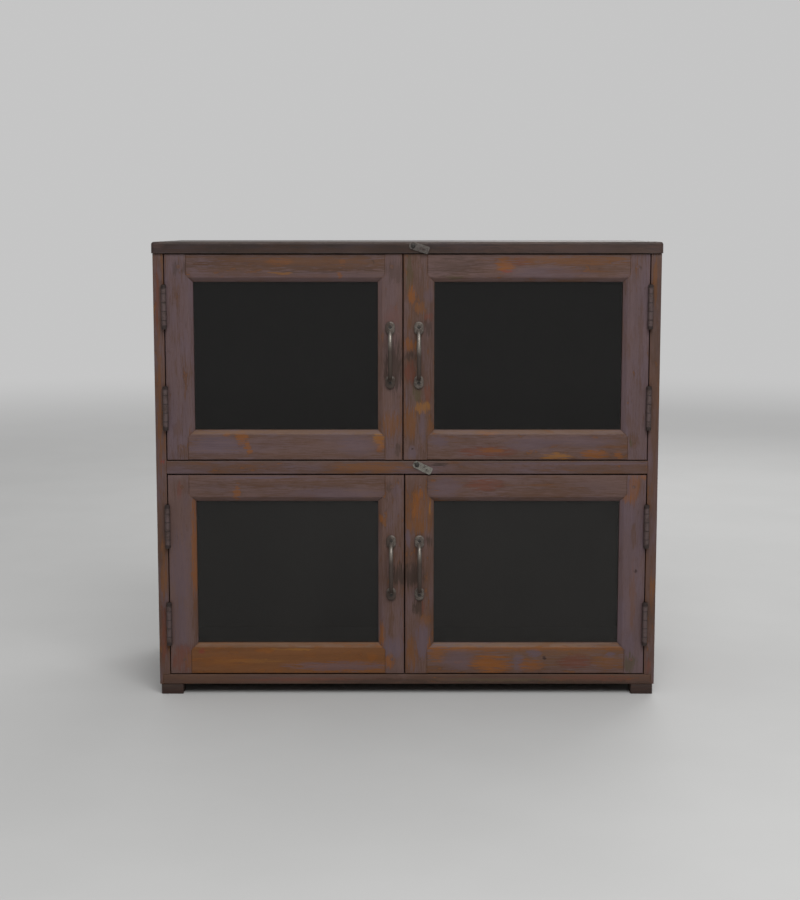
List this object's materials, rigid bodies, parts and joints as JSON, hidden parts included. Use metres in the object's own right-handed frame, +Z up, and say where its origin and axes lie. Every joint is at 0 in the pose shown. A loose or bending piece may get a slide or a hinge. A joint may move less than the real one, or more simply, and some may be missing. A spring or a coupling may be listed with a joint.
{
  "type": "glazed kitchen cabinet",
  "caption": "Low kitchen cabinet with framed glass doors on butt hinges in two tiers, bow handles, turn buttons and block feet.",
  "frame": {"origin": "on the floor, under the centre of the box that the cabinet with its handles fills", "axes": "+X to the right seen from the front, +Y to the back, +Z up; the doors face -Y"},
  "size_m": [0.91, 0.415, 0.8245],
  "materials": {
    "painted_wood": "old mauve paint worn through to orange-brown wood",
    "top_wood": "dark worn paint and wax",
    "bare_wood": "unpainted aged softwood",
    "peg_wood": "end grain",
    "window_glass": "clear",
    "aged_iron": "aged, worn bright on the grip",
    "hinge_iron": "dark, with old paint",
    "zinc_steel": "dull zinc"
  },
  "bodies": {
    "case": {"top_board": "top_wood", "left_side": "painted_wood", "right_side": "painted_wood", "bottom_board": "painted_wood", "middle_shelf": "painted_wood", "back_planks": "bare_wood", "door_stops": "bare_wood", "foot_front_left": "bare_wood", "foot_front_right": "bare_wood", "foot_rear_left": "bare_wood", "foot_rear_right": "bare_wood", "left_case_leaves": "hinge_iron", "right_case_leaves": "hinge_iron", "hinge_pins": "hinge_iron", "case_screws": "aged_iron", "top_board_nails": "aged_iron", "button_screws": "aged_iron"},
    "upper_left_door": {"upper_left_hinge_stile": "painted_wood", "upper_left_lock_stile": "painted_wood", "upper_left_top_rail": "painted_wood", "upper_left_bottom_rail": "painted_wood", "upper_left_pegs": "peg_wood", "upper_left_glass": "window_glass", "upper_left_glazing_beads": "painted_wood", "upper_left_handle": "aged_iron", "upper_left_hinge_leaves": "hinge_iron", "upper_left_screws": "aged_iron"},
    "upper_right_door": {"upper_right_hinge_stile": "painted_wood", "upper_right_lock_stile": "painted_wood", "upper_right_top_rail": "painted_wood", "upper_right_bottom_rail": "painted_wood", "upper_right_pegs": "peg_wood", "upper_right_glass": "window_glass", "upper_right_glazing_beads": "painted_wood", "upper_right_handle": "aged_iron", "upper_right_hinge_leaves": "hinge_iron", "upper_right_screws": "aged_iron"},
    "lower_left_door": {"lower_left_hinge_stile": "painted_wood", "lower_left_lock_stile": "painted_wood", "lower_left_top_rail": "painted_wood", "lower_left_bottom_rail": "painted_wood", "lower_left_pegs": "peg_wood", "lower_left_glass": "window_glass", "lower_left_glazing_beads": "painted_wood", "lower_left_handle": "aged_iron", "lower_left_hinge_leaves": "hinge_iron", "lower_left_screws": "aged_iron"},
    "lower_right_door": {"lower_right_hinge_stile": "painted_wood", "lower_right_lock_stile": "painted_wood", "lower_right_top_rail": "painted_wood", "lower_right_bottom_rail": "painted_wood", "lower_right_pegs": "peg_wood", "lower_right_glass": "window_glass", "lower_right_glazing_beads": "painted_wood", "lower_right_handle": "aged_iron", "lower_right_hinge_leaves": "hinge_iron", "lower_right_screws": "aged_iron"},
    "top_button": {"top_turn_button": "zinc_steel"},
    "middle_button": {"middle_turn_button": "zinc_steel"}
  },
  "joints": [
    {"name": "upper_left_door_hinge", "type": "hinge", "parent": "case", "child": "upper_left_door", "pos_m": [-0.4333, -0.18255, 0.61825], "axis": [0, 0, -1], "range_deg": [0, 170]},
    {"name": "upper_right_door_hinge", "type": "hinge", "parent": "case", "child": "upper_right_door", "pos_m": [0.4333, -0.18255, 0.61825], "axis": [0, 0, 1], "range_deg": [0, 170]},
    {"name": "lower_left_door_hinge", "type": "hinge", "parent": "case", "child": "lower_left_door", "pos_m": [-0.4333, -0.18255, 0.2225], "axis": [0, 0, -1], "range_deg": [0, 170]},
    {"name": "lower_right_door_hinge", "type": "hinge", "parent": "case", "child": "lower_right_door", "pos_m": [0.4333, -0.18255, 0.2225], "axis": [0, 0, 1], "range_deg": [0, 170]},
    {"name": "top_button_pivot", "type": "hinge", "parent": "case", "child": "top_button", "pos_m": [0.0108, -0.1827, 0.8175], "axis": [0, 1, 0], "continuous": true},
    {"name": "middle_button_pivot", "type": "hinge", "parent": "case", "child": "middle_button", "pos_m": [0.0177, -0.1787, 0.425], "axis": [0, 1, 0], "continuous": true}
  ]
}
